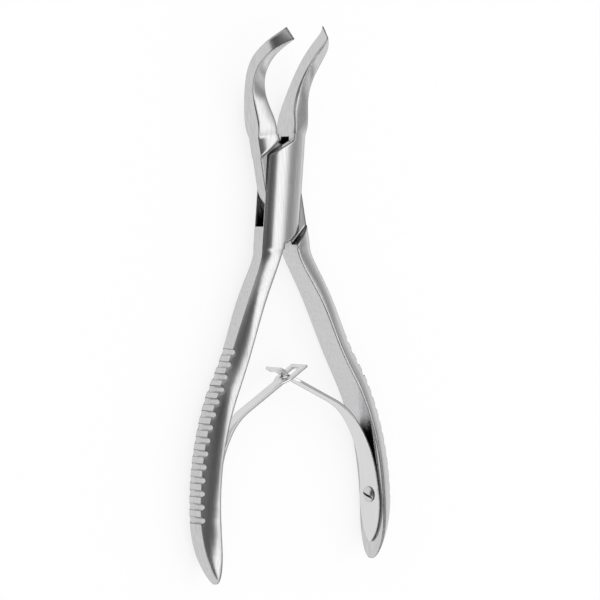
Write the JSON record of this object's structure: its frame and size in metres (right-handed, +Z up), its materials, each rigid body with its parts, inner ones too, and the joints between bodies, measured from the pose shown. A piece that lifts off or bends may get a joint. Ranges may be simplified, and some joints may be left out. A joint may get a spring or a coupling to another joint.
{
  "type": "bone cutting forceps",
  "caption": "Box-lock bone cutting forceps with forward-bent jaws, grooved bowed grips and two interlocking leaf springs that hold it open.",
  "frame": {"origin": "on the pivot axis, level with the lowest edges of the grips", "axes": "+X from the left grip to the right grip, +Y along the instrument towards the jaws, +Z up from the table, the way the jaws bend"},
  "size_m": [0.0674, 0.1472, 0.0208],
  "materials": {
    "satin_steel": "satin",
    "pin_steel": "satin",
    "spring_steel": "satin",
    "screw_steel": "polished"
  },
  "bodies": {
    "box_half": {"box_half": "satin_steel", "pivot_pin": "pin_steel", "left_spring": "spring_steel", "left_spring_screw": "screw_steel"},
    "tongue_half": {"tongue_half": "satin_steel", "right_spring": "spring_steel", "right_spring_screw": "screw_steel"}
  },
  "joints": [
    {"name": "box_lock_pivot", "type": "hinge", "parent": "box_half", "child": "tongue_half", "pos_m": [0, 0, 0], "axis": [0, 0, -1], "range_deg": [0, 16], "stiffness_Nm_per_rad": 2, "deforming": ["left_spring", "right_spring"]}
  ]
}
